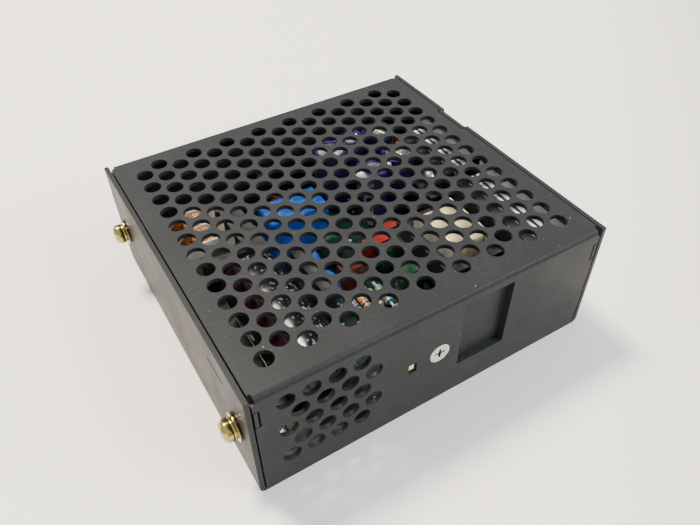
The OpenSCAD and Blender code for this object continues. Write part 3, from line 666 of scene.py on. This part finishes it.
class SUPPLY_OT_hardware(bpy.types.Operator):
    """Finish the screws, washers and nuts"""

    bl_idname = "supply.hardware"
    bl_label = "Screws and washers"

    def execute(self, context):
        settings = context.scene.supply_hardware
        yellow = chromated_zinc(settings)
        white = clear_zinc(settings)
        self.front_screw(settings, white)
        for end in ("front", "rear"):
            for kind in ("side_screw", "spring_washer", "flat_washer"):
                rounded(f"{kind}_{end}", settings.edge * 0.8, yellow)
        for node in ("foot_screws", "clinch_nuts", "board_screws", "heatsink_screws"):
            rounded(node, settings.edge, white, 1)
        rounded("board_standoffs", settings.edge, tinned_brass(), 1)
        return {"FINISHED"}

    def front_screw(self, settings, white):
        """The flat-head screw, with painted shade in its cross recess."""
        recess_r = 1.55 * MM
        recess_start = 0.2 * MM
        recess_end = 1.2 * MM
        piece = rounded("front_screw", settings.edge, white)
        # Painted shade: faces inside the cross recess get a dark material that stands in for the shade there
        piece.data.materials.append(moulded("recess_painted_shade", (0.05, 0.05, 0.045), 0.6))
        low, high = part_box("front_screw")
        middle = (low + high) / 2
        for face in piece.data.polygons:
            arm = face.center - middle
            deep = face.center.y - low.y
            if recess_start < deep < recess_end and math.hypot(arm.x, arm.z) < recess_r:
                face.material_index = 1


class SUPPLY_OT_lamp(bpy.types.Operator):
    """Finish the status lamp and its holder"""

    bl_idname = "supply.lamp"
    bl_label = "Status lamp"

    def execute(self, context):
        edge = context.scene.supply_hardware.edge
        rounded("status_led", edge * 3, lamp_epoxy(), 4)
        rounded("led_holder", edge, moulded("holder_nylon", (0.012, 0.012, 0.012)))
        return {"FINISHED"}


class SUPPLY_OT_rail_side(bpy.types.Operator):
    """Make the rail foot, its latch and the latch spring"""

    bl_idname = "supply.rail_side"
    bl_label = "Rail foot"

    def execute(self, context):
        settings = context.scene.supply_wiring
        rounded("rail_foot", settings.edge, moulded("foot_nylon", settings.foot))
        rounded("rail_latch", settings.edge, moulded("latch_nylon", shade(settings.foot, 3.2), 0.36))
        low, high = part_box("latch_spring")
        wire_r = settings.spring_wire / 2
        coil_r = (high.z - low.z) / 2 - wire_r
        turns = settings.spring_turns
        pitch = (high.x - low.x - 2 * wire_r) / turns
        spring = wound_wire("latch_spring_coil", coil_r, wire_r, pitch, turns, 40, 12)
        middle = (low + high) / 2
        apply_place(spring, (0, 0, -math.pi / 2), (low.x + wire_r, middle.y, middle.z))
        fit(spring, bare_steel(), "latch_spring")
        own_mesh(spring)
        return {"FINISHED"}


class SUPPLY_OT_wiring_side(bpy.types.Operator):
    """Make the terminal block with its screws and plates, and the voltage trimmer"""

    bl_idname = "supply.wiring_side"
    bl_label = "Wiring side"

    def execute(self, context):
        settings = context.scene.supply_wiring
        hardware = context.scene.supply_hardware
        zinc = bpy.data.materials["clear_zinc"]
        tin = bpy.data.materials["tinned_brass"]
        rounded("terminal_block", settings.edge, moulded("block_nylon", settings.block))
        rounded("terminal_plates", hardware.edge, tin, 1)
        for node in sorted(frame["nodes"]):
            if node.startswith("terminal_screw_") or node.startswith("clamp_plate_"):
                rounded(node, hardware.edge, zinc)
        rounded("trimmer_body", settings.edge, moulded("trimmer_case", (0.02, 0.08, 0.42), 0.32))
        rounded("trimmer_rotor", hardware.edge, moulded("rotor_nylon", (0.78, 0.76, 0.70), 0.34))
        return {"FINISHED"}


class SUPPLY_OT_board(bpy.types.Operator):
    """Finish the circuit board and its small parts"""

    bl_idname = "supply.board"
    bl_label = "Circuit board"

    def execute(self, context):
        edge = context.scene.supply_hardware.edge
        coat(solder_mask(), "circuit_board")
        self.resistors(edge)
        rounded("control_chips", edge, moulded("chip_epoxy", (0.020, 0.020, 0.021), 0.5), 1)
        rounded("bridge_rectifier", edge * 3, moulded("bridge_epoxy", (0.016, 0.016, 0.017), 0.4))
        coat(clear_glass(), "fuse_tube")
        rounded("fuse_caps", edge * 2, bpy.data.materials["tinned_brass"])
        return {"FINISHED"}

    def resistors(self, edge):
        """Resistors in three body colours, each with its bands."""
        tones = ((0.52, 0.36, 0.19), (0.10, 0.32, 0.50), (0.62, 0.52, 0.36))
        lead = 2.4 * MM
        boxes = solid_boxes("resistors")
        bodies = []
        for n, (low, high) in enumerate(boxes):
            name = f"banded_body_{n + 1}"
            tone = tones[n % len(tones)]
            half = (high.y - low.y) / 2 - lead
            bodies.append(banded_body(name, tone, (low + high) / 2, half))
        by_solid(rounded("resistors", edge, bodies[0], 1), boxes, bodies)


class SUPPLY_OT_capacitors(bpy.types.Operator):
    """Make the capacitors, with grooved tops and striped sleeves"""

    bl_idname = "supply.capacitors"
    bl_label = "Capacitors"

    def execute(self, context):
        settings = context.scene.supply_capacitors
        edge = context.scene.supply_hardware.edge
        boxes = solid_boxes("output_capacitor_cans")
        can_metal = drawn_aluminium("can_aluminium_turned", (1, 1, 8))
        cans = joined([self.can(box, settings.groove) for box in boxes], "output_capacitor_cans_grooved")
        fit(cans, can_metal, "output_capacitor_cans")
        self.output_sleeves(settings, edge)
        coat(can_metal, "bulk_capacitor_can")
        self.main_sleeve(settings, edge)
        coat(moulded("bung_rubber", (0.03, 0.03, 0.03), 0.6), "bulk_capacitor_bung")
        blue = dipped_epoxy("blue_case_epoxy", settings.blue)
        rounded("line_capacitor", edge * 6, blue, 3)
        rounded("safety_capacitors", edge, dipped_epoxy("blue_disc_epoxy", settings.blue, 0.2), 1)
        rounded("inrush_thermistor", edge, dipped_epoxy("green_disc_epoxy", (0.03, 0.13, 0.07), 0.3), 1)
        red = dipped_epoxy("red_film_epoxy", settings.red)
        green = dipped_epoxy("green_film_epoxy", settings.green)
        orange = dipped_epoxy("orange_disc_epoxy", settings.orange, 0.3)
        brown = dipped_epoxy("brown_film_epoxy", shade(settings.red, 0.3), 0.3)
        films = rounded("film_capacitors", edge * 6, brown, 3)
        by_solid(films, solid_boxes("film_capacitors"), (brown, red, green, green, red, orange))
        self.glue(boxes)
        return {"FINISHED"}

    def output_sleeves(self, settings, edge):
        """Violet sleeves, each with a pale stripe that faces its own way."""
        first_at = 2.4
        step_at = 1.3
        skin = shrink_sleeve("violet_sleeve_skin", settings.violet_sleeve)
        sleeves = rounded("output_capacitor_sleeves", edge, skin)
        sleeves.data.materials.append(printed_mark())
        for n, (low, high) in enumerate(solid_boxes("output_capacitor_sleeves")):
            radius = (high.x - low.x) / 2
            self.stripe(sleeves, (low + high) / 2, radius, first_at + step_at * n, "z")

    def main_sleeve(self, settings, edge):
        """The black sleeve, with small print on one side of its top and a dark red band on the other."""
        print_at = 1.25
        band_at = 2.2
        skin = shrink_sleeve("black_sleeve_skin", settings.black_sleeve)
        sleeve = rounded("bulk_capacitor_sleeve", edge * 3, skin)
        sleeve.data.materials.append(sleeve_print(settings.black_sleeve))
        sleeve.data.materials.append(shrink_sleeve("maroon_sleeve_skin", settings.maroon))
        low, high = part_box("bulk_capacitor_sleeve")
        middle = (low + high) / 2
        radius = (high.x - low.x) / 2
        self.stripe(sleeve, middle, radius, print_at, "y")
        self.stripe(sleeve, middle, radius, band_at, "y", 2)

    def can(self, box, groove):
        """One can with crossed vent grooves in its top."""
        groove_turn = 0.4
        low, high = box
        middle = (low + high) / 2
        radius = (high.x - low.x) / 2
        bpy.ops.object.select_all(action="DESELECT")
        bpy.ops.mesh.primitive_cylinder_add(vertices=48, radius=radius, depth=high.z - low.z, location=middle)
        can = bpy.context.object
        only(can)
        bpy.ops.object.transform_apply(location=True, rotation=True, scale=True)
        bars = []
        for turn in (groove_turn, groove_turn + math.pi / 2):
            bpy.ops.mesh.primitive_cube_add(size=1, location=(0, 0, 0))
            bar = bpy.context.object
            bar.scale = (radius * 1.3, groove, groove)
            apply_place(bar, (0, 0, turn), (middle.x, middle.y, high.z))
            bars.append(bar)
        for bar in bars:
            apply_modifier(can, "groove", "BOOLEAN", operation="DIFFERENCE", solver="EXACT", object=bar)
            bpy.data.objects.remove(bar)
        round_edges(can, groove * 0.25, 1)
        return can

    def stripe(self, piece, centre, radius, at, axis, ink=1):
        """Gives the skin of a sleeve round one angle about its axis the material in the slot ink."""
        half_angle = 0.38
        for face in piece.data.polygons:
            arm = face.center - centre
            across = (arm.x, arm.y) if axis == "z" else (arm.x, arm.z)
            if math.hypot(*across) > radius * 1.02 or math.hypot(*across) < radius * 0.9:
                continue
            angle = (math.atan2(across[1], across[0]) - at + math.pi) % math.tau - math.pi
            if abs(angle) < half_angle:
                face.material_index = ink

    def glue(self, boxes):
        """Blobs of silicone between the output capacitors."""
        size = 2.3 * MM
        swell = 1.1 * MM
        material = silicone()
        texture = bpy.data.textures.new("lumps", "CLOUDS")
        texture.noise_scale = 1.6 * MM
        for n, (low, high) in enumerate(boxes[1:4]):
            bpy.ops.object.select_all(action="DESELECT")
            bpy.ops.mesh.primitive_ico_sphere_add(
                subdivisions=4, radius=size, location=(low.x, (low.y + high.y) / 2, high.z - size * 0.55)
            )
            blob = bpy.context.object
            blob.scale = (1.0, 1.3, 0.5)
            apply_place(blob)
            apply_modifier(blob, "lumps", "DISPLACE", texture=texture, strength=swell)
            bpy.ops.object.shade_smooth()
            blob.name = f"fixing_silicone_{n + 1}"
            blob.data.materials.append(material)
            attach(blob, "case")


class SUPPLY_OT_windings(bpy.types.Operator):
    """Wind the chokes and finish the transformer"""

    bl_idname = "supply.windings"
    bl_label = "Windings"

    def execute(self, context):
        settings = context.scene.supply_windings
        edge = context.scene.supply_hardware.edge
        ferrite = sintered_ferrite()
        pale = moulded("bobbin_nylon_pale", (0.72, 0.68, 0.56), 0.36)
        rounded("choke_core", edge * 2, ferrite)
        rounded("choke_bobbin", edge * 2, pale)
        self.choke(settings)
        rounded("transformer_core", edge * 2, ferrite)
        rounded("transformer_bobbin", edge * 2, pale)
        rounded("transformer_windings", edge * 14, wrapped_tape(settings.tape), 4)
        rounded("inductor_core", edge, core_lacquer(), 1)
        self.ring(settings)
        return {"FINISHED"}

    def choke(self, settings):
        """Layers of wire in each chamber of the choke's bobbin, each nested into the one outside it."""
        layers = 3
        nesting = 0.9
        wire_r = settings.choke_wire / 2
        coils = []
        for low, high in solid_boxes("choke_windings"):
            outer = (high.x - low.x) / 2 - wire_r
            turns = int((high.y - low.y) / settings.choke_wire - 0.5)
            pitch = (high.y - low.y - 2 * wire_r) / turns
            middle = (low + high) / 2
            for layer in range(layers):
                coil_r = outer - layer * settings.choke_wire * nesting
                start_y = low.y + wire_r + pitch / 2 * (layer % 2)
                coil = wound_wire("coil", coil_r, wire_r, pitch, turns - layer % 2)
                apply_place(coil, (0, 0, 0), (middle.x, start_y, middle.z))
                coils.append(coil)
        copper = enamelled_wire("copper_enamel", settings.copper)
        fit(joined(coils, "choke_wire_layers"), copper, "choke_windings")

    def ring(self, settings):
        """Turns of thick wire round the output choke's ring."""
        low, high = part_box("inductor_winding")
        core_low, core_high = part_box("inductor_core")
        middle = (low + high) / 2
        ring_t = (core_high.z - core_low.z) / 2
        ring_r = (core_high.x - core_low.x) / 2 - ring_t
        wire_r = settings.ring_wire / 2
        turn_r = ring_t + wire_r + SKIN
        turns = []
        for n in range(settings.ring_turns):
            bpy.ops.object.select_all(action="DESELECT")
            bpy.ops.mesh.primitive_torus_add(
                major_segments=32, minor_segments=8, major_radius=turn_r, minor_radius=wire_r
            )
            turn = bpy.context.object
            around = math.tau * n / settings.ring_turns
            reach = Vector((math.cos(around), math.sin(around), 0)) * ring_r
            apply_place(turn, (math.pi / 2, 0, around), middle + reach)
            bpy.ops.object.shade_smooth()
            turns.append(turn)
        material = enamelled_wire("red_enamel", (0.62, 0.12, 0.05))
        fit(joined(turns, "inductor_wire_turns"), material, "inductor_winding")


class SUPPLY_OT_heatsinks(bpy.types.Operator):
    """Finish the heatsinks with painted shade, painted highlight strips and bare lips, and the power
    semiconductors
    """

    bl_idname = "supply.heatsinks"
    bl_label = "Heatsinks"

    def execute(self, context):
        edge = context.scene.supply_hardware.edge
        lip_h = 2.2 * MM
        highlight_strips = (3.3, 5.6, 7.5)
        bare = drawn_aluminium("rolled_aluminium", (1, 12, 1), (0.90, 0.90, 0.90))
        low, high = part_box("input_heatsink")
        # Painted shade on the heatsinks, with painted highlight strips
        painted_shade_film = painted_shade_sheet(low.x, highlight_strips)
        for node in ("input_heatsink", "output_heatsink"):
            piece = rounded(node, edge * 2, painted_shade_film)
            piece.data.materials.append(bare)
            for face in piece.data.polygons:
                if face.center.z > high.z - lip_h:
                    face.material_index = 1
        rounded("power_semiconductors", edge * 2, moulded("semi_epoxy", (0.017, 0.017, 0.018), 0.48))
        return {"FINISHED"}


class SUPPLY_OT_studio(bpy.types.Operator):
    """Set up the table, the lights and the camera"""

    bl_idname = "supply.studio"
    bl_label = "Studio"

    def execute(self, context):
        settings = context.scene.supply_studio
        self.table(settings)
        self.lights(context, settings)
        self.camera(context, settings)
        return {"FINISHED"}

    def table(self, settings):
        """A pale table top, specked, with painted shade toward its front right corner."""
        painted_shade_start = 0.10
        painted_shade_end = 0.20
        bpy.ops.object.select_all(action="DESELECT")
        bpy.ops.mesh.primitive_plane_add(size=6, location=(0, 0, 0))
        table = bpy.context.object
        table.name = "table_top"
        f = Finish("table_laminate", settings.table, roughness=0.55, Specular_IOR_Level=0.3)
        f.mottle(180, shade(settings.table, 0.97))
        # Painted shade: the table darkens toward its front right corner, standing in for light falling off
        # there
        painted_shade_reach = f.math("SUBTRACT", f.along(0), f.along(1))
        f.layer(f.between(painted_shade_reach, painted_shade_start, painted_shade_end, 0.0, 0.6), shade(settings.table, 0.5))
        f.layer(f.specks(34, 0.30, 0.30), (0.24, 0.20, 0.17))
        f.emboss(f.noise(0.8), 0.01)
        table.data.materials.append(f.material)

    def lights(self, context, settings):
        """A small bright light behind, a soft fill and a tiny glint in front, and an even surround."""
        world = bpy.data.worlds.new("surround")
        world.use_nodes = True
        background = world.node_tree.nodes["Background"]
        background.inputs["Color"].default_value = (*settings.sky, 1)
        background.inputs["Strength"].default_value = settings.sky_strength
        context.scene.world = world
        lamps = (
            ("key_light", (-0.20, 0.64, 1.22), 0.34, settings.key_power, (1.0, 0.90, 0.78)),
            ("fill_light", (0.9, -0.9, 0.9), 1.0, settings.fill_power, (0.90, 0.96, 1.0)),
            ("glint_light", (0.46, -0.48, 0.82), 0.10, settings.glint_power, (1.0, 1.0, 1.0)),
        )
        for name, spot, size, power, tint in lamps:
            bpy.ops.object.light_add(type="AREA", location=spot)
            lamp = context.object
            lamp.name = name
            lamp.data.shape = "DISK"
            lamp.data.size = size
            lamp.data.energy = power
            lamp.data.color = tint
            lamp.rotation_euler = (-Vector(spot)).to_track_quat("-Z", "Y").to_euler()

    def camera(self, context, settings):
        """The camera stands in front on the left and looks down on the cover."""
        spot = (-67.01, -116.21, 139.77)
        turn = (46.008, 0.558, -31.416)
        bpy.ops.object.camera_add(location=[value * MM for value in spot])
        camera = context.object
        camera.name = "camera"
        camera.rotation_euler = [math.radians(value) for value in turn]
        camera.data.lens = settings.lens
        camera.data.sensor_width = 36
        camera.data.clip_start = 0.01
        context.scene.camera = camera


class SUPPLY_PT_panel(bpy.types.Panel):
    """Lists the sizes, colours and steps"""

    bl_label = "Rail power supply"
    bl_idname = "SUPPLY_PT_panel"
    bl_space_type = "VIEW_3D"
    bl_region_type = "UI"
    bl_category = "Supply"

    def draw(self, context):
        layout = self.layout
        for name, group in GROUPS.items():
            box = layout.box()
            box.label(text=group.__doc__)
            settings = getattr(context.scene, name)
            for prop in group.__annotations__:
                box.prop(settings, prop)
        for step in STEPS:
            layout.operator(step.bl_idname)


GROUPS = {
    "supply_case": CaseSettings,
    "supply_hardware": HardwareSettings,
    "supply_windings": WindingSettings,
    "supply_capacitors": CapacitorSettings,
    "supply_wiring": WiringSettings,
    "supply_studio": StudioSettings,
}
STEPS = (
    SUPPLY_OT_studio,
    SUPPLY_OT_case,
    SUPPLY_OT_hardware,
    SUPPLY_OT_lamp,
    SUPPLY_OT_rail_side,
    SUPPLY_OT_wiring_side,
    SUPPLY_OT_board,
    SUPPLY_OT_capacitors,
    SUPPLY_OT_windings,
    SUPPLY_OT_heatsinks,
)


def register():
    """Registers the settings, the steps and the panel."""
    for group in GROUPS.values():
        bpy.utils.register_class(group)
    for name, group in GROUPS.items():
        setattr(bpy.types.Scene, name, PointerProperty(type=group))
    for step in (*STEPS, SUPPLY_PT_panel):
        bpy.utils.register_class(step)


def unregister():
    """Takes away what register added."""
    for step in (SUPPLY_PT_panel, *reversed(STEPS)):
        bpy.utils.unregister_class(step)
    for name in GROUPS:
        delattr(bpy.types.Scene, name)
    for group in GROUPS.values():
        bpy.utils.unregister_class(group)


def corners(box):
    """A box as plain lists."""
    return [list(corner) for corner in box]


def main():
    """Builds everything in order."""
    register()
    for step in STEPS:
        category, action = step.bl_idname.split(".")
        getattr(getattr(bpy.ops, category), action)()


if __name__ == "__main__":
    main()
